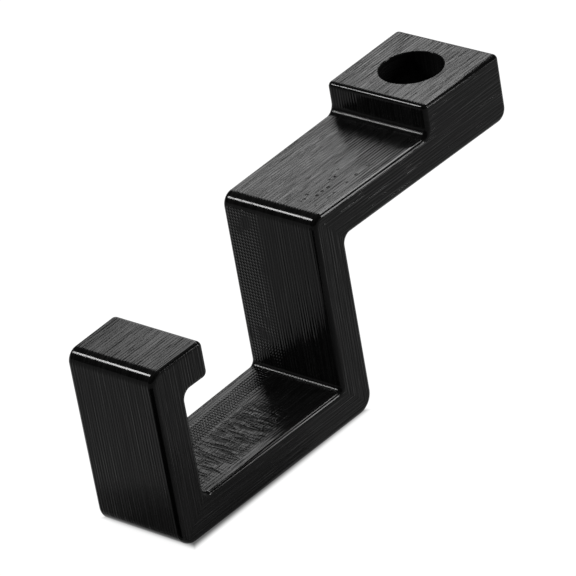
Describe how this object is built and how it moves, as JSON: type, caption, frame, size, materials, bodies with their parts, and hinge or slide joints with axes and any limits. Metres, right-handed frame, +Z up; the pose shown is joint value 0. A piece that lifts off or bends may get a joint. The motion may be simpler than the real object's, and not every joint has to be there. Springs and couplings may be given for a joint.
{
  "type": "headrest hook",
  "caption": "One-piece bent strip hook for a car seat: a bored block slides over a headrest post, and a drop wall carries a tray closed by an upright with an inward lip.",
  "frame": {"origin": "centre of the post bore, in the plane of the underside of the block and arm", "axes": "+Z up along the post bore, the arm and the hook reach out along -X, and Y runs across the strip"},
  "size_m": [0.1186, 0.0282, 0.0584],
  "materials": {
    "black_plastic": "solid black, satin, with fine parallel lines along each member"
  },
  "bodies": {
    "root": {"headrest_hook": "black_plastic"}
  },
  "joints": []
}
